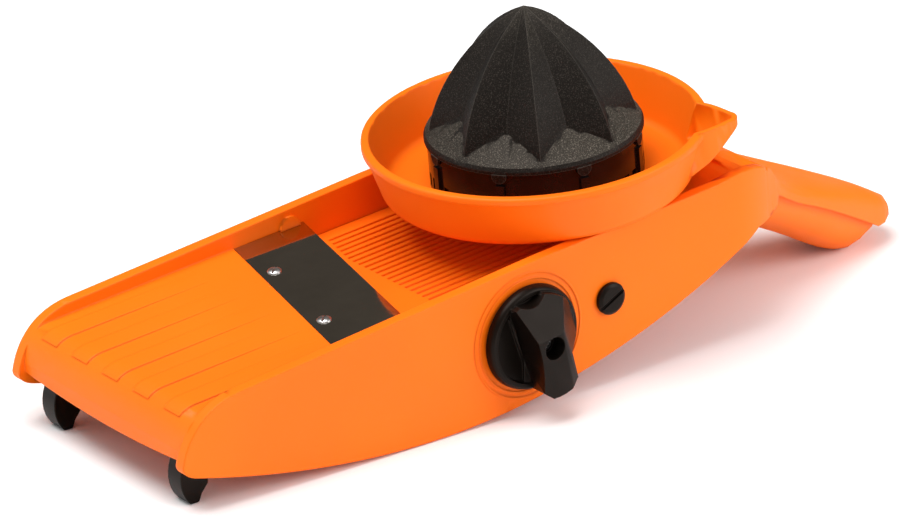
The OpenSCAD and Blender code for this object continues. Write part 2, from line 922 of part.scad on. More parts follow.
// ---- feet ----
module foot(side) {
    // Hooked foot, cut level with the table
    color(black)
        standing()
            difference() {
                translate([foot_x, side * foot_gap / 2, 0])
                    along_y(-foot_w / 2, foot_w / 2)
                        polygon(concat(
                            [[4, -deck_t], [0.8, -9], [-1.9, -18]],
                            bez([-2.6, -22], [-6.2, -29], [-4.6, -36], [-0.6, -foot_h - 0.2], 8),
                            [
                                [1.4, -foot_h - 0.3], [2.9, -foot_h + 0.4], [4.3, -foot_h + 3.2],
                                [7.6, -foot_h + 6.6], [8.4, -24], [11, -deck_t]
                            ]
                        ));
                below_table();
            }
}
module foot_near() {
    foot(-1);
}
module foot_far() {
    foot(1);
}

// ---- dish ----
rim_r = dish_d / 2;
dish_foot_r = dish_foot_d / 2;
dish_floor = wall_seat_h + dish_t;
dish_top = wall_seat_h + dish_h;
rim_in = rim_r - rim_w;
foot_round = 4;

module dish_outside() {
    rotate_extrude($fn = 128)
        polygon(concat(
            [[0, wall_seat_h]],
            arc(dish_foot_r - foot_round, wall_seat_h + foot_round, foot_round, -90, -12, 5),
            [[rim_r - 1, dish_top - 3.4], [rim_r, dish_top - 2.8]],
            arc(rim_r - 0.9, dish_top - 0.9, 0.9, 0, 90, 3),
            [[0, dish_top]]
        ));
}
module dish_inside() {
    floor_r = dish_foot_r - dish_t;
    rotate_extrude($fn = 128)
        polygon(concat(
            [[0, dish_floor]],
            arc(floor_r - foot_round, dish_floor + foot_round, foot_round, -90, -12, 5),
            [[rim_in, dish_top - 1], [rim_in + 0.5, dish_top + cut], [0, dish_top + cut]]
        ));
}

module spout(inset, lift) {
    // A pouring lip: its plan is a rounded point and its underside slopes up to the tip
    spread = 15;
    tip_r = 5 - inset;
    y0 = rim_r * sin(spread) - inset;
    x0 = rim_r * cos(spread) - 4;
    rotate([0, 0, -spout_angle])
        intersection() {
            translate([0, 0, wall_seat_h])
                linear_extrude(dish_h + lift)
                    polygon(concat(
                        [[x0 - 6, -y0], [x0, -y0]],
                        arc(spout_r - 5, 0, tip_r, -62, 62, 10),
                        [[x0, y0], [x0 - 6, y0]]
                    ));
            along_y(-rim_r, rim_r)
                polygon(concat(
                    [[dish_foot_r - 5 - inset, dish_top + cut]],
                    bez([dish_foot_r - 5 - inset, wall_seat_h + 5 + inset], [dish_foot_r + 4, wall_seat_h + 7 + inset],
                        [spout_r - 8, dish_top - 12 + inset], [spout_r - inset, dish_top - 3.5 + inset], 6),
                    [[spout_r - inset, dish_top + cut]]
                ));
        }
}

strainer_t = 2.4;
spigot_r = strainer_d / 2 - strainer_t - slip;
module dish() {
    guide_l = 52;
    guide_t = 2;
    guide_h = 4;
    guide_y = inner - 0.4;
    ring_h = 1.6;
    color(orange)
        standing() {
            difference() {
                union() {
                    dish_outside();
                    spout(0, 0);
                }
                dish_inside();
                spout(dish_t - 0.3, cut);
            }
            // guides that drop between the side walls
            for (s = [-1, 1])
                translate([-guide_l / 2, s > 0 ? guide_y - guide_t : -guide_y, wall_seat_h - guide_h])
                    cube([guide_l, guide_t, guide_h + 0.5]);
            // ring that centres the strainer
            difference() {
                cylinder_between(2 * spigot_r, dish_floor - 0.2, dish_floor + ring_h);
                cylinder_between(2 * spigot_r - 4, dish_floor - cut, dish_floor + ring_h + cut);
            }
        }
}

// ---- strainer ----
strainer_top = dish_floor + strainer_h;
ridge_turn = -169;
post_turn = ridge_turn + 180 / flutes;
tab_h = 3.7;
post_out = 1.2;
module strainer() {
    r = strainer_d / 2;
    slot_w = 3.2;
    band = 3;
    color(black)
        standing() {
            difference() {
                cylinder_between(strainer_d, dish_floor, strainer_top);
                cylinder_between(strainer_d - 2 * strainer_t, dish_floor - cut, strainer_top + cut);
                for (i = [0:flutes - 1])
                    for (j = [1:strainer_slots])
                        rotate([0, 0, post_turn + 360 / flutes * (i + j / (strainer_slots + 1))])
                            translate([r - 6, -slot_w / 2, dish_floor + band])
                                cube([12, slot_w, strainer_h - 2 * band]);
            }
            for (i = [0:flutes - 1])
                rotate([0, 0, post_turn + 360 / flutes * i])
                    translate([r - 1, -1.8, dish_floor])
                        cube([1 + post_out, 3.6, strainer_h - tab_h - 1]);
        }
}

// ---- reamer ----
flange_r = flange_d / 2;
apex_z = strainer_top + reamer_h;
ridge = bez(
    [flange_r - 2.5, strainer_top + 4.6], [flange_r - 5.5, strainer_top + 19.5], [25.8, apex_z - 11],
    [0.4, apex_z], 14);
valley = bez(
    [flange_r - 13.5, strainer_top + 12.2], [27.5, apex_z - 30], [16.5, apex_z - 12.5], [0.4, apex_z], 14);

module fluted_cone() {
    // Sharp ridges with V-shaped valleys between them
    n = 2 * flutes;
    function ring(a, b) = [for (k = [0:n - 1]) let (t = ridge_turn + 360 * k / n, p = k % 2 == 0 ? a : b)
        [p[0] * cos(t), p[0] * sin(t), p[1]]];
    base_z = strainer_top + 2;
    loft(concat(
        [ring([ridge[0][0], base_z], [valley[0][0], base_z])],
        [for (i = [0:len(ridge) - 1]) ring(ridge[i], valley[i])]
    ));
}

module reamer() {
    z = strainer_top;
    color(black)
        standing() {
            difference() {
                union() {
                    fluted_cone();
                    rotate_extrude($fn = 96)
                        polygon([
                            [0, z], [flange_r, z], [flange_r, z + 1.4], [flange_r - 0.8, z + 2.9],
                            [flange_r - 3, z + 4.4], [flange_r - 14, z + 12.4], [0, z + 12.4]
                        ]);
                }
                // hollow inside the cone
                rotate_extrude()
                    polygon([
                        [0, z - cut], [spigot_r - 2, z - cut], [spigot_r - 2, z], [27, z + 9], [24.5, z + 18],
                        [19, z + 30], [12, z + 40], [6, z + 46], [0, z + 48]
                    ]);
            }
            // spigot that drops into the strainer
            difference() {
                cylinder_between(2 * spigot_r, z - 3, z + 0.2);
                cylinder_between(2 * spigot_r - 4, z - 3 - cut, z + 0.2 + cut);
            }
            // round tabs that hang over the posts
            for (i = [0:flutes - 1])
                rotate([0, 0, post_turn + 360 / flutes * i])
                    intersection() {
                        translate([0, 0, z - tab_h + 3.1])
                            rotate([0, 90, 0])
                                cylinder(r = 3.1, h = 60);
                        translate([strainer_d / 2 + 0.2, -10, z - 6])
                            cube([1, 20, 6.2]);
                    }
        }
}

// ---- standing position ----
mid_y = (dish_d / 2 - knob_y - knob_h) / 2;
left_x = -nose_x * cos(deck_rise) - nose_tip[1] * sin(deck_rise);
right_x = handle_x * cos(deck_rise) - edge_z(handle_x) * sin(deck_rise);
mid_x = (left_x + right_x) / 2;

body();
handle_cover();
handle_screws();
blade();
blade_screws();
blade_nuts();
ramp();
front_crank_near();
front_crank_far();
front_rod();
crank_screw_far();
rear_crank_near();
rear_crank_far();
rear_rod();
pivot_screw_near();
pivot_screw_far();
knob();
knob_screw();
knob_washer();
detent_spring();
foot_near();
foot_far();
dish();
strainer();
reamer();
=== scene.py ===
# Dresses the mandoline slicer: finishes for every piece, the table it stands on, the lights and the camera.
# Metres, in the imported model's frame: +X from the nose to the handle, +Y away from the knob, +Z up.
# Shapes are written in millimetres in the deck frame: the slicer's own, before it tips onto its feet and its
# handle, with the press axis at x = 0 and the landing deck at z = 0.
import json
import math

import bmesh
import bpy
from mathutils import Matrix, Vector


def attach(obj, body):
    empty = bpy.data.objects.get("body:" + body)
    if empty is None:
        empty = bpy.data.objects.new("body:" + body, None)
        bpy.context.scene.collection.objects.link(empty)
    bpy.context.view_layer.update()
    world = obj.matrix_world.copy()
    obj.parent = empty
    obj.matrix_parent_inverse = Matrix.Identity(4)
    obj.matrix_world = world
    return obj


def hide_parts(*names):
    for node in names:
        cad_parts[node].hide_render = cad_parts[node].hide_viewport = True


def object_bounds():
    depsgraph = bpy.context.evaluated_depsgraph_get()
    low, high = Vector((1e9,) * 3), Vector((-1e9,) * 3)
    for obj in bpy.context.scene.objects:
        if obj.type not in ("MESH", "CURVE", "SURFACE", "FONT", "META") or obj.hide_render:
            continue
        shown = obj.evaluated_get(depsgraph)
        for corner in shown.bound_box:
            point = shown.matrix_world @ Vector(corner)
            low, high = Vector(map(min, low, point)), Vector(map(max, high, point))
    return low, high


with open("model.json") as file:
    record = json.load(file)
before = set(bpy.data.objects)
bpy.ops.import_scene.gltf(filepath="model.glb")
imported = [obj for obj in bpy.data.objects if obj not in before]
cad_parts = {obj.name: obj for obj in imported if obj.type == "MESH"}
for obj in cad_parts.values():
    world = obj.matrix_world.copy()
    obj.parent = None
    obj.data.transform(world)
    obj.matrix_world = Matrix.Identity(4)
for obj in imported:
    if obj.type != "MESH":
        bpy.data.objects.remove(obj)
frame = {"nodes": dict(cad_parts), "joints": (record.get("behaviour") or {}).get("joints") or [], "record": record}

cad_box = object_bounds()
nodes = frame["nodes"]
MM = 0.001

# ---- the deck frame ----
DECK_RISE = math.radians(5.5)
KNOB_X, KNOB_Z = -54.8, -21.4
knob_at = next(Vector(j["pos_m"]) for j in frame["joints"] if j["name"] == "knob_turn")
tipped = Matrix.Rotation(-DECK_RISE, 4, "Y")
DECK = Matrix.Translation(knob_at - tipped @ Vector((KNOB_X * MM, 0, KNOB_Z * MM))) @ tipped
TO_DECK = DECK.inverted()


# ---- shader helpers ----
class Wire:
    """One output socket of a shader graph, on which sums and products can be written."""

    def __init__(self, graph, socket):
        self.graph = graph
        self.socket = socket

    def math(self, operation, *values):
        return self.graph.add("ShaderNodeMath", {"operation": operation}, dict(enumerate(values)))

    def __add__(self, other):
        return self.math("ADD", self, other)

    def __radd__(self, other):
        return self.math("ADD", other, self)

    def __sub__(self, other):
        return self.math("SUBTRACT", self, other)

    def __rsub__(self, other):
        return self.math("SUBTRACT", other, self)

    def __mul__(self, other):
        return self.math("MULTIPLY", self, other)

    def __rmul__(self, other):
        return self.math("MULTIPLY", other, self)

    def fit(self, low, high, out_low=0.0, out_high=1.0):
        """The value carried from one range to another, and kept inside it."""
        values = {"Value": self, "From Min": low, "From Max": high, "To Min": out_low, "To Max": out_high}
        return self.graph.add("ShaderNodeMapRange", {"clamp": True}, values)


class Graph:
    """A material's or a world's node tree."""

    def __init__(self, tree):
        self.tree = tree
        tree.nodes.clear()

    def node(self, kind, settings=None, sockets=None):
        """Adds a node: its settings come first, then the values or links of its sockets."""
        made = self.tree.nodes.new(kind)
        for name, value in (settings or {}).items():
            setattr(made, name, value)
        for name, value in (sockets or {}).items():
            if isinstance(value, Wire):
                self.tree.links.new(value.socket, made.inputs[name])
            else:
                made.inputs[name].default_value = value
        return made

    def add(self, kind, settings=None, sockets=None, out=0):
        """Adds a node and gives the wire from one of its outputs."""
        return Wire(self, self.node(kind, settings, sockets).outputs[out])

    def place(self):
        return self.add("ShaderNodeTexCoord", out="Object")

    def noise(self, scale, detail=3.0, roughness=0.55, place=None):
        """A cloudy value of which the spots repeat scale times in a metre."""
        sockets = {"Vector": place or self.place(), "Scale": scale, "Detail": detail, "Roughness": roughness}
        return self.add("ShaderNodeTexNoise", None, sockets)

    def mix(self, factor, first, second):
        """A colour between two, by the factor."""
        first, second = (c if isinstance(c, Wire) else rgba(c) for c in (first, second))
        sockets = {"Factor": factor, 6: first, 7: second}
        return self.add("ShaderNodeMix", {"data_type": "RGBA"}, sockets, out=2)

    def dot(self, first, second):
        """1 where two directions agree, 0 where they are square to each other."""
        settings = {"operation": "DOT_PRODUCT"}
        return self.add("ShaderNodeVectorMath", settings, {0: first, 1: second}, out="Value")

    def bump(self, height, depth, strength, normal=None):
        """The direction that a surface with a relief faces; the depth is in metres."""
        sockets = {"Height": height, "Distance": depth, "Strength": strength}
        if normal:
            sockets["Normal"] = normal
        return self.add("ShaderNodeBump", None, sockets)

    def facing(self):
        """The direction that the surface faces."""
        return self.add("ShaderNodeNewGeometry", out="Normal")

    def eased_edges(self, radius, samples=6):
        """The direction that the surface faces, eased over sharp edges as a moulding's are."""
        return self.add("ShaderNodeBevel", {"samples": samples}, {"Radius": radius})

    def worn_edges(self, radius, low, high):
        """1 on sharp outer edges and 0 on faces."""
        return (1.0 - self.dot(self.facing(), self.eased_edges(radius, samples=4))).fit(low, high)


def rgba(colour):
    return (*colour, 1.0)


def new_material(paint):
    """A material that has the name and the nodes of a finish."""
    made = bpy.data.materials.new(paint.__name__)
    made.use_nodes = True
    graph = Graph(made.node_tree)
    shader = graph.add("ShaderNodeBsdfPrincipled", None, paint(graph))
    graph.node("ShaderNodeOutputMaterial", None, {"Surface": shader})
    return made


# ---- colours, in linear light ----
ORANGE = (0.95, 0.166, 0.0033)
ORANGE_DEEP = (0.91, 0.145, 0.0029)
ORANGE_WORN = (0.98, 0.23, 0.03)
BLACK = (0.0038, 0.0024, 0.0016)
BLACK_WORN = (0.050, 0.040, 0.034)
STYRENE = (0.006, 0.003, 0.0024)
STYRENE_PALE = (0.011, 0.006, 0.005)
GRAIN = (0.0030, 0.0024, 0.0018)
# pale specks painted in as glints on the reamer's grain
GRAIN_PAINTED_GLINT = (0.040, 0.034, 0.028)
# a lighter pair of tones painted in as overhead light on what faces up on the reamer
GRAIN_PAINTED_TOPLIGHT = (0.030, 0.026, 0.020)
GRAIN_PAINTED_TOPLIGHT_GLINT = (0.210, 0.180, 0.148)
GRAIN_WORN = (0.095, 0.086, 0.074)
STEEL = (0.40, 0.382, 0.350)
STEEL_PALE = (0.48, 0.460, 0.420)
ZINC = (0.42, 0.41, 0.40)
ZINC_PALE = (0.62, 0.61, 0.60)
ZINC_WORN = (0.8, 0.79, 0.78)
PAPER = (0.93, 0.93, 0.93)
PAPER_PALE = (0.95, 0.95, 0.95)
WARM_SHEEN = (1.0, 0.84, 0.74)
WARM_GRAIN_SHEEN = (1.0, 0.88, 0.78)
STUDIO = (0.92, 0.92, 0.93)
STUDIO_NEAR_CAMERA = (0.40, 0.38, 0.36)
STUDIO_BACKDROP = (0.10, 0.085, 0.07)


# ---- finishes ----
def orange_moulding(graph):
    """Glossy orange ABS: slight flow marks, faint scuffs and a soft orange peel."""
    flow = graph.noise(9.0, 2.0, 0.5)
    cloud = graph.noise(34.0, 3.0, 0.6)
    peel = graph.noise(2600.0, 2.0, 0.6)
    scuff = graph.noise(420.0, 5.0, 0.75).fit(0.60, 0.72)
    grazing = graph.add("ShaderNodeLayerWeight", None, {"Blend": 0.3}, out="Facing")
    tone = graph.mix(flow.fit(0.35, 0.65), ORANGE_DEEP, ORANGE)
    return {
        "Base Color": graph.mix(scuff * 0.10, tone, ORANGE_WORN),
        "Roughness": cloud.fit(0.3, 0.7, 0.30, 0.38) + scuff * 0.10 + grazing * 0.35,
        "Specular IOR Level": 0.16,
        "Normal": graph.bump(peel * 0.35 + cloud, 0.00006, 0.5, graph.eased_edges(0.0012)),
    }


def black_moulding(graph):
    """Satin black plastic with fine flow marks and lighter rubbed edges."""
    cloud = graph.noise(60.0, 4.0, 0.6)
    grain = graph.noise(3200.0, 2.0, 0.6)
    rub = graph.worn_edges(0.0006, 0.01, 0.12) * cloud.fit(0.35, 0.65)
    return {
        "Base Color": graph.mix(rub * 0.55, BLACK, BLACK_WORN),
        "Roughness": cloud.fit(0.3, 0.7, 0.28, 0.38),
        "Specular IOR Level": 0.12,
        "Specular Tint": rgba(WARM_SHEEN),
        "Normal": graph.bump(grain, 0.00004, 0.5, graph.eased_edges(0.0005)),
    }


def gloss_black(graph):
    """The strainer's bright black styrene."""
    cloud = graph.noise(90.0, 3.0, 0.6)
    return {
        "Base Color": graph.mix(cloud.fit(0.35, 0.65), STYRENE, STYRENE_PALE),
        "Roughness": cloud.fit(0.3, 0.7, 0.14, 0.22),
        "Specular IOR Level": 0.22,
        "Normal": graph.bump(graph.noise(1500.0, 2.0), 0.00003, 0.4),
    }


def grained_black(graph):
    """The reamer's spark-eroded grain: fine pits, pale specks painted in as glints, and painted overhead light
    that makes what faces up lighter.
    """
    pits = graph.noise(1150.0, 4.0, 0.7)
    # pale specks of base colour painted in as glints
    painted_glint = graph.noise(2300.0, 2.0, 0.7).fit(0.54, 0.68)
    upward = graph.add("ShaderNodeSeparateXYZ", None, {"Vector": graph.facing()}, out="Z")
    side_tone = graph.mix(painted_glint, GRAIN, GRAIN_PAINTED_GLINT)
    # painted overhead light: the reamer is lighter where it faces up
    painted_toplight = graph.mix(painted_glint, GRAIN_PAINTED_TOPLIGHT, GRAIN_PAINTED_TOPLIGHT_GLINT)
    tone = graph.mix(upward.fit(0.55, 0.90), side_tone, painted_toplight)
    return {
        "Base Color": graph.mix(graph.worn_edges(0.0007, 0.02, 0.20) * 0.45, tone, GRAIN_WORN),
        "Roughness": pits.fit(0.35, 0.65, 0.42, 0.62),
        "Specular IOR Level": 0.16,
        "Specular Tint": rgba(WARM_GRAIN_SHEEN),
        "Normal": graph.bump(pits, 0.00022, 0.9),
    }


def polished_steel(graph):
    """The blade plate: polished, with faint lengthwise drawing lines."""
    drawn = graph.add("ShaderNodeMapping", None, {"Vector": graph.place(), "Scale": (900.0, 12.0, 900.0)})
    lines = graph.noise(1.0, 3.0, 0.6, drawn)
    smear = graph.noise(45.0, 4.0, 0.6).fit(0.3, 0.7)
    return {
        "Base Color": graph.mix(smear, STEEL, STEEL_PALE),
        "Metallic": 1.0,
        "Roughness": 0.03 + (smear + lines) * 0.03,
        "Normal": graph.bump(lines, 0.000004, 0.5),
    }


def zinc_steel(graph):
    """Bright-plated fasteners, rods and spring."""
    cloud = graph.noise(260.0, 4.0, 0.6)
    tone = graph.mix(cloud.fit(0.3, 0.7), ZINC, ZINC_PALE)
    return {
        "Base Color": graph.mix(graph.worn_edges(0.0003, 0.02, 0.25) * 0.5, tone, ZINC_WORN),
        "Metallic": 1.0,
        "Roughness": cloud.fit(0.3, 0.7, 0.22, 0.38),
        "Normal": graph.bump(cloud, 0.00002, 0.5),
    }


def white_paper(graph):
    """The matt sheet that the slicer stands on."""
    return {
        "Base Color": graph.mix(graph.noise(3.0), PAPER, PAPER_PALE),
        "Roughness": 0.7,
        "Specular IOR Level": 0.2,
    }


FINISHES = (orange_moulding, black_moulding, gloss_black, grained_black, polished_steel, zinc_steel)
materials = {paint.__name__: new_material(paint) for paint in FINISHES}

DRESSED_IN = {
    "orange_moulding": ("body", "handle_cover", "ramp", "dish"),
    "black_moulding": (
        "knob", "foot_near", "foot_far", "pivot_screw_near", "pivot_screw_far", "crank_screw_far",
        "front_crank_near", "front_crank_far", "rear_crank_near", "rear_crank_far"),
    "gloss_black": ("strainer",),
    "grained_black": ("reamer",),
    "polished_steel": ("blade",),
}
FINISH_OF = {node: finish for finish, dressed in DRESSED_IN.items() for node in dressed}


def dress(piece, node):
    """Gives a piece the finish of the node that it is, or that it stands for."""
    piece.data.materials.clear()
    piece.data.materials.append(materials[FINISH_OF.get(node, "zinc_steel")])


for name, node in nodes.items():
    dress(node, name)


# ---- tools for shapes ----
BODY_OF = {node: body for body, held in frame["record"]["behaviour"]["bodies"].items() for node in held}
SAME_CORNER = 2e-6    # metres: corners that are nearer than this are one
SAME_PLANE = 1e-6     # metres: a corner that is nearer than this to a cut lies on it
FLAT = 0.4            # degrees: an edge that turns by less is no edge
WORTH_EASING = 30.0   # degrees: an edge that turns by less is left as it is


def link(name, data):
    """An object in the scene that shows the data."""
    made = bpy.data.objects.new(name, data)
    bpy.context.scene.collection.objects.link(made)
    return made


def stand_in(name, shape, node, crisp):
    """Makes a shape a piece that stands for a node. Its edges stay crisp where they turn by more than crisp
    degrees."""
    mesh = bpy.data.meshes.new(name)
    shape.to_mesh(mesh)
    shape.free()
    piece = link(name, mesh)
    mesh.shade_smooth()
    mesh.set_sharp_from_angle(angle=math.radians(crisp))
    weighted = piece.modifiers.new("weighted", "WEIGHTED_NORMAL")
    weighted.keep_sharp = True
    dress(piece, node)
    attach(piece, BODY_OF[node])
    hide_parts(node)
    return piece


def turning(edge):
    """Degrees by which the surface turns at an edge."""
    return math.degrees(edge.calc_face_angle(0.0)) if edge.is_manifold else 0.0


def round_edges(shape, edges, radius, segments, slide=True):
    bmesh.ops.bevel(
        shape, geom=edges, offset=radius * MM, offset_type="OFFSET", segments=segments, profile=0.5,
        affect="EDGES", clamp_overlap=True, loop_slide=slide)


def cut_through(shape, place, direction, faces=None):
    """Cuts some faces of a shape, or all of them, along a plane of the deck frame, and keeps both sides."""
    faces = faces or shape.faces[:]
    edges = dict.fromkeys(e for f in faces for e in f.edges)
    corners = dict.fromkeys(v for f in faces for v in f.verts)
    bmesh.ops.bisect_plane(
        shape, geom=[*corners, *edges, *faces], dist=SAME_PLANE, plane_co=DECK @ (Vector(place) * MM),
        plane_no=DECK.to_3x3() @ Vector(direction))


def eased_copy(node, passes, crisp=38.0, reshape=None):
    """A copy of a moulding with rounded outer edges. A pass is a radius, a number of segments and a test that
    takes an edge's two ends."""
    shape = bmesh.new()
    shape.from_mesh(nodes[node].data)
    bmesh.ops.remove_doubles(shape, verts=shape.verts, dist=SAME_CORNER)
    bmesh.ops.dissolve_limit(
        shape, angle_limit=math.radians(FLAT), verts=shape.verts, edges=shape.edges, delimit={"NORMAL"})
    if reshape:
        reshape(shape)
    for radius, segments, wanted in passes:
        chosen = [
            e for e in shape.edges
            if e.is_convex and turning(e) >= WORTH_EASING and wanted(*(TO_DECK @ v.co / MM for v in e.verts))]
        round_edges(shape, chosen, radius, segments)
    return stand_in(node + "_eased", shape, node, crisp)


def anywhere(a, b):
    return True


def bezier(a, b, c, d, count):
    """Points along a curve from a to d, which b and c pull."""
    points = []
    for i in range(count + 1):
        t = i / count
        s = 1 - t
        weights = (s ** 3, 3 * s * s * t, 3 * s * t * t, t ** 3)
        points.append(tuple(sum(w * p[k] for w, p in zip(weights, (a, b, c, d))) for k in range(len(a))))
    return points


def at(line, x):
    """Value at x of a line of (x, value) points."""
    for (x0, v0), (x1, v1) in zip(line, line[1:]):
        if x <= x1:
            return v0 + (v1 - v0) * (x - x0) / (x1 - x0)
    return line[-1][1]


def swell(value, low, high):
    """Smooth rise from 0 at low to 1 at high."""
    t = min(1.0, max(0.0, (value - low) / (high - low)))
    return t * t * (3 - 2 * t)


# ---- body: eased rims, and side walls that run into the handle in one sweep ----
NEAR = 0.1                        # what is nearer than this lies on it
WALL_OUT = 59.2                   # a side wall's outer face
WALL_IN = 54.2                    # a side wall's inner face
WALL_END = 74.4                   # where the side walls end
KNOB_CLEAR = 31                   # edges that are nearer than this to the knob's axis stay as they are
SCREW_X, SCREW_Z = -13.5, -20.2   # the slotted pivot screw behind the knob
SCREW_CLEAR = 12
LONGEST_LUG = 12                  # shorter edges at the walls' inner faces belong to the blade's lugs
INNER_RIM_LOW = 1.0               # the inner rim runs above this height
INNER_RIM_END = 90                # and no farther than this
DRAWN_FROM, DRAWN_TO = 54, 92     # the walls' ends and the handle's sides are drawn in between these
DRAWN_OUTSIDE = 30                # and farther than this from the middle
LIFTED_TO = 98                    # the handle's shell is lifted as far as this
SQUARED_TO = 93                   # and its sides stand up as far as this
SHELL_LIFT = 6.2
LIFT_ACROSS = (0.45, 0.93)        # shares of the way to the handle's side between which the lift comes in
LIFT_ABOVE_RIM = (0.5, 5)         # heights between which it comes in
SQUARED_ACROSS = (0.88, 0.94)
SIDE_SQUARING = 0.9               # share of the gap to the handle's side that is closed
SIDE_LOW = 3.5                    # the shell stands up from this height over its rim
HEEL_X, HEEL_Z = 66.5, -18.1      # where a wall's arched underside meets its end
HEEL_FALL = 0.04                  # mm for each mm toward the handle
HEEL_FADES, HEEL_GONE = 87, 88.6
END_ARC_TOP = -5.5                # top of the arc at a wall's end
RIM_BAND = 1.2                    # what is nearer than this to the shell's rim goes down with the heel
HANDLE_EDGE = 0.97                # the rim lies beyond this share of the way to the handle's side
# Lines along the handle's root, as (x, value): the shell's crest, its lower rim, where the drawn side comes
# to lie, and where the handle's side lies before that.
CREST = [(74, 4.9), (78, 2.4), (84, -1.8), (90, -6.6), (100, -14.6)]
RIM = [(70, -5.46), (74, -7.07), (78, -9.27), (80, -10.45), (84, -12.89), (90, -17.09), (100, -24.4)]
SHOULDER = [(40.0, WALL_OUT)] + bezier((54, WALL_OUT), (72, WALL_OUT), (79, 50.6), (92, 41.6), 24)
HANDLE_SIDE = [(WALL_END, 56.0), (76, 54.7), (78, 52.5), (80, 50.2), (82, 47.85), (84, 46.05), (86, 44.3),
               (88, 43.38), (90, 42.46), (92, 41.59)]
CUTS_ALONG = (56, 59, 62, 65, 68, 70.5, 72.5, 77, 80, 83, 85, 87, 88.6, 91)
CUTS_ACROSS = (-50, -47.5, -44, -39, -33, -26, 26, 33, 39, 44, 47.5, 50)
CROSS_CUTS_FROM = 72              # the cuts across the width leave the body before this as it is


def on_outer_rim(a, b):
    """Rim of a side wall's outer face, clear of the rings round the knob and the screw."""
    if min(a.x, b.x) >= DRAWN_FROM:
        return all(abs(abs(p.y) - at(SHOULDER, p.x)) < NEAR and p.x < WALL_END + NEAR for p in (a, b))
    if min(abs(a.y), abs(b.y)) < WALL_OUT - NEAR or a.y * b.y < 0:
        return False
    middle = (a + b) / 2
    near_knob = math.hypot(middle.x - KNOB_X, middle.z - KNOB_Z) < KNOB_CLEAR
    near_screw = math.hypot(middle.x - SCREW_X, middle.z - SCREW_Z) < SCREW_CLEAR
    return not near_knob and not near_screw


def on_inner_rim(a, b):
    """Top edge of a side wall's inner face, above the deck."""
    if abs(abs(a.y) - WALL_IN) > NEAR or abs(abs(b.y) - WALL_IN) > NEAR or a.y * b.y < 0:
        return False
    return (a - b).length > LONGEST_LUG and min(a.z, b.z) > INNER_RIM_LOW and max(a.x, b.x) < INNER_RIM_END


def fade(x, end):
    """1 at the wall's end, and smoothly less until 0 at end."""
    return swell(end - x, 0, end - WALL_END)


def with_heel(x, y, z, across):
    """Height of a corner once the wall's heel runs on along the handle's rim."""
    heel = HEEL_Z - HEEL_FALL * (x - HEEL_X)
    in_wall = HEEL_X - NEAR < x < WALL_END + NEAR and abs(y) > WALL_IN - NEAR
    on_handle = WALL_END + NEAR < x < HEEL_GONE - NEAR and across > HANDLE_EDGE
    if in_wall and HEEL_Z - 2 * NEAR < z < END_ARC_TOP:
        return heel
    if on_handle and abs(z - at(RIM, x)) < RIM_BAND:
        return z + (heel - z) * (1 - swell(x, HEEL_FADES, HEEL_GONE))
    return z


def lifted_shell(x, y, z, across):
    """Place across and height of a corner of the handle's upper shell once it stands up beside the walls."""
    above_rim = z - at(RIM, x)
    lift = SHELL_LIFT * fade(x, LIFTED_TO) * swell(across, *LIFT_ACROSS) * swell(above_rim, *LIFT_ABOVE_RIM)
    if above_rim > SIDE_LOW:
        squared = SIDE_SQUARING * fade(x, SQUARED_TO) * swell(across, *SQUARED_ACROSS)
        y += math.copysign((at(HANDLE_SIDE, x) - abs(y)) * squared, y)
    return y, min(z + lift, max(z, at(CREST, x)))


def drawn_shoulders(shape):
    """Draws the walls' far ends in and lifts the handle's shell to meet them."""
    for x in CUTS_ALONG:
        cut_through(shape, (x, 0, 0), (1, 0, 0))
    for y in CUTS_ACROSS:
        handle_end = [f for f in shape.faces if (TO_DECK @ f.calc_center_median()).x > CROSS_CUTS_FROM * MM]
        cut_through(shape, (0, y, 0), (0, 1, 0), handle_end)
    for corner in shape.verts:
        x, y, z = TO_DECK @ corner.co / MM
        if not DRAWN_FROM < x < LIFTED_TO:
            continue
        across = min(1.0, abs(y) / at(HANDLE_SIDE, x))
        z = with_heel(x, y, z, across)
        if x > WALL_END - NEAR and abs(y) < WALL_OUT - NEAR and z > at(RIM, x):
            y, z = lifted_shell(x, y, z, across)
        if abs(y) > DRAWN_OUTSIDE and x < DRAWN_TO:
            on_wall = abs(y) > WALL_OUT - NEAR or x < WALL_END - NEAR
            y *= at(SHOULDER, x) / (WALL_OUT if on_wall else at(HANDLE_SIDE, x))
        corner.co = DECK @ (Vector((x, y, z)) * MM)


# ---- strainer: a bright basket with juice slots low between its posts ----
POSTS = 8
POST_TURN = -146.5                # degrees from the handle to the first post
POST_HALF = 2.4                   # degrees
POST_CELLS = 4
POST_PROUD, POST_ROOT = 1.2, 0.6  # out of and into the basket's wall
POST_SHORT = 4.7                  # below the basket's top
SLOTS = 5                         # between two posts
SLOT_HALF = 2.1                   # degrees
SLOT_FOOT, SLOT_HEAD = 1.6, 7.2   # above the basket's floor
SLOT_ROW = 1
BASKET_R, BASKET_WALL = 43.5, 2.4
BASKET_FLOOR, BASKET_TOP = 11.1, 30.5
BASKET_EASE = 0.35
BASKET_CORNER = 60                # degrees: only edges that turn by more are eased


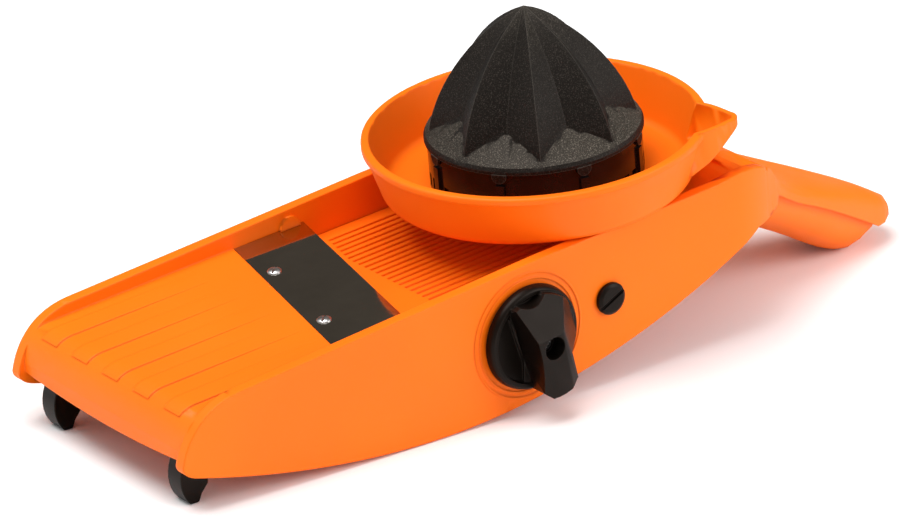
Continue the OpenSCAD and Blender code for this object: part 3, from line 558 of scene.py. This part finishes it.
def ring_of_cells(shape, turns, heights, radii, solid):
    """Adds the closed skin of the solid cells of a tube, cut by turns in degrees and by heights."""
    made = {}

    def corner(i, j, k):
        key = (i % len(turns), j, k)
        if key not in made:
            turn = math.radians(turns[key[0]])
            place = Vector((radii[k] * math.cos(turn), radii[k] * math.sin(turn), heights[j]))
            made[key] = shape.verts.new(DECK @ (place * MM))
        return made[key]

    def face(*keys):
        shape.faces.new([corner(*key) for key in keys])

    count, rows = len(turns), len(heights) - 1

    def filled(i, j):
        return 0 <= j < rows and solid(i % count, j)

    for i in range(count):
        for j in range(rows):
            if not filled(i, j):
                continue
            face((i, j, 1), (i + 1, j, 1), (i + 1, j + 1, 1), (i, j + 1, 1))
            face((i, j, 0), (i, j + 1, 0), (i + 1, j + 1, 0), (i + 1, j, 0))
            if not filled(i, j - 1):
                face((i, j, 0), (i + 1, j, 0), (i + 1, j, 1), (i, j, 1))
            if not filled(i, j + 1):
                face((i, j + 1, 1), (i + 1, j + 1, 1), (i + 1, j + 1, 0), (i, j + 1, 0))
            if not filled(i - 1, j):
                face((i, j, 0), (i, j, 1), (i, j + 1, 1), (i, j + 1, 0))
            if not filled(i + 1, j):
                face((i + 1, j, 1), (i + 1, j, 0), (i + 1, j + 1, 0), (i + 1, j + 1, 1))


def strainer_basket():
    """The basket's slotted wall, with its posts grown onto it."""
    shape = bmesh.new()
    turns, open_cells = [], set()
    pitch = 360 / POSTS
    for i in range(POSTS):
        post = POST_TURN + pitch * i
        turns += [post - POST_HALF, post + POST_HALF]
        for j in range(1, SLOTS + 1):
            slot = post + pitch * j / (SLOTS + 1)
            open_cells.add(len(turns))
            turns += [slot - SLOT_HALF, slot + SLOT_HALF]
    heights = [BASKET_FLOOR, BASKET_FLOOR + SLOT_FOOT, BASKET_FLOOR + SLOT_HEAD, BASKET_TOP]
    ring_of_cells(
        shape, turns, heights, (BASKET_R - BASKET_WALL, BASKET_R),
        lambda i, j: j != SLOT_ROW or i not in open_cells)
    for i in range(POSTS):
        post = POST_TURN + pitch * i
        turns = [post + POST_HALF * (2 * k / POST_CELLS - 1) for k in range(POST_CELLS + 1)]
        heights = [BASKET_FLOOR, BASKET_TOP - POST_SHORT]
        ring_of_cells(
            shape, turns, heights, (BASKET_R - POST_ROOT, BASKET_R + POST_PROUD), lambda i, j: i < POST_CELLS)
    edges = [e for e in shape.edges if e.is_convex and turning(e) > BASKET_CORNER]
    round_edges(shape, edges, BASKET_EASE, 2, slide=False)
    stand_in("strainer_basket", shape, "strainer", 40.0)


# ---- dish: its spout's sides bow out ----
SPOUT_TURN = math.radians(-42)
SPOUT_ROOT, SPOUT_TIP = 67.0, 82.0    # from the press axis
SPOUT_FACES_FROM = 63
SPOUT_CUTS = (69, 71, 73, 75, 77, 79)
SPOUT_BOW = 0.15                      # share of its width
SPOUT_LOW = 12                        # the dish's floor and foot, below this, stay


def bowed_spout(shape):
    """Bows the sides of the dish's spout outward."""
    ahead = Vector((math.cos(SPOUT_TURN), math.sin(SPOUT_TURN), 0))
    aside = Vector((-math.sin(SPOUT_TURN), math.cos(SPOUT_TURN), 0))
    for reach in SPOUT_CUTS:
        cut_through(shape, ahead * reach, ahead)
    spout = [f for f in shape.faces if (TO_DECK @ f.calc_center_median()).dot(ahead) > SPOUT_FACES_FROM * MM]
    bmesh.ops.triangulate(shape, faces=spout, quad_method="BEAUTY", ngon_method="BEAUTY")
    for corner in shape.verts:
        place = TO_DECK @ corner.co / MM
        along = (place.dot(ahead) - SPOUT_ROOT) / (SPOUT_TIP - SPOUT_ROOT)
        if place.z >= SPOUT_LOW and 0 < along < 1:
            place += aside * place.dot(aside) * SPOUT_BOW * 4 * along * (1 - along)
            corner.co = DECK @ (place * MM)


# ---- reamer: its ridges and valleys stay sharp ----
FLUTE_TURN = 4        # degrees: a flute's edge turns by more
FLUTE_ROUND = 0.4     # and runs up to the tip more than it runs round the axis


def crisp_flutes(piece):
    """Keeps the reamer's ridges and valleys, which run up to its tip, sharp in the shading."""
    shape = bmesh.new()
    shape.from_mesh(piece.data)
    for edge in shape.edges:
        a, b = (TO_DECK @ v.co for v in edge.verts)
        middle = (a + b) / 2
        round_axis = Vector((-middle.y, middle.x, 0)).normalized()
        if abs((b - a).normalized().dot(round_axis)) < FLUTE_ROUND and turning(edge) > FLUTE_TURN:
            edge.smooth = False
    shape.to_mesh(piece.data)
    shape.free()


# ---- the pieces that stand for their nodes ----
eased_copy("body", [(1.9, 4, on_outer_rim), (1.1, 3, on_inner_rim)], reshape=drawn_shoulders)
strainer_basket()
for name, radius in {
    "knob": 0.55, "foot_near": 0.8, "foot_far": 0.8, "pivot_screw_near": 0.3, "pivot_screw_far": 0.3,
    "crank_screw_far": 0.3, "ramp": 0.3, "blade_screws": 0.15,
}.items():
    eased_copy(name, [(radius, 3, anywhere)])
eased_copy("dish", [(0.7, 2, anywhere)], reshape=bowed_spout)
crisp_flutes(eased_copy("reamer", [(0.25, 2, anywhere)], crisp=13.0))
eased_copy("handle_cover", [(0.6, 3, anywhere)], crisp=40.0)


# ---- table, lights and camera ----
TABLE_HALF = 3.0
TABLE_GAP = 0.0002
slicer_middle = (cad_box[0] + cad_box[1]) / 2


def table_top():
    mesh = bpy.data.meshes.new("table_top")
    corners = [(x * TABLE_HALF, y * TABLE_HALF, 0) for x, y in ((-1, -1), (1, -1), (1, 1), (-1, 1))]
    mesh.from_pydata(corners, [], [(0, 1, 2, 3)])
    mesh.materials.append(new_material(white_paper))
    made = link("table_top", mesh)
    made.location.z = -TABLE_GAP


def soft_light(name, offset, size, power):
    """A rectangular light that is placed from the slicer's middle and aimed at it."""
    lamp = bpy.data.lights.new(name, "AREA")
    lamp.shape = "RECTANGLE"
    lamp.size, lamp.size_y = size
    lamp.energy = power
    made = link(name, lamp)
    made.location = slicer_middle + Vector(offset)
    made.rotation_mode = "QUATERNION"
    made.rotation_quaternion = (-Vector(offset)).to_track_quat("-Z", "Y")


def studio_world():
    """Pale surroundings, with a dark backdrop behind the far side that the polished blade mirrors."""
    world = bpy.data.worlds.new("studio")
    bpy.context.scene.world = world
    world.use_nodes = True
    graph = Graph(world.node_tree)
    toward = graph.add("ShaderNodeTexCoord", out="Generated")
    near_camera = graph.dot(toward, Vector((-0.80, -0.55, 0.20)).normalized()).fit(0.50, 0.92)
    backdrop = graph.dot(toward, Vector((0.55, 0.70, 0.46)).normalized()).fit(0.35, 0.82)
    shade = graph.mix(backdrop, graph.mix(near_camera, STUDIO, STUDIO_NEAR_CAMERA), STUDIO_BACKDROP)
    lit = graph.add("ShaderNodeBackground", None, {"Color": shade, "Strength": 1.0})
    graph.node("ShaderNodeOutputWorld", None, {"Surface": lit})


def long_lens_camera():
    """A long lens that looks down on the slicer from the nose and the knob's side."""
    place = Vector((-1130.569, -1542.231, 893.923)) * MM
    right = Vector((0.79150634, -0.60536935, -0.0839385))
    up = Vector((0.32377984, 0.29886392, 0.8976898))
    turn = Matrix((right, up, right.cross(up))).transposed().to_4x4()
    lens = bpy.data.cameras.new("camera")
    lens.sensor_width = 36.0
    lens.lens = 208.48
    lens.clip_start = 0.01
    lens.clip_end = 50.0
    made = link("camera", lens)
    made.matrix_world = DECK @ Matrix.Translation(place) @ turn
    bpy.context.scene.camera = made


table_top()
studio_world()
soft_light("overhead", (-0.40, 0.10, 1.3), (1.2, 1.1), 23.0)
soft_light("right_front", (1.0, -1.25, 0.75), (1.0, 1.0), 14.0)
long_lens_camera()
bpy.context.scene.view_settings.view_transform = "Standard"
bpy.context.scene.view_settings.look = "None"
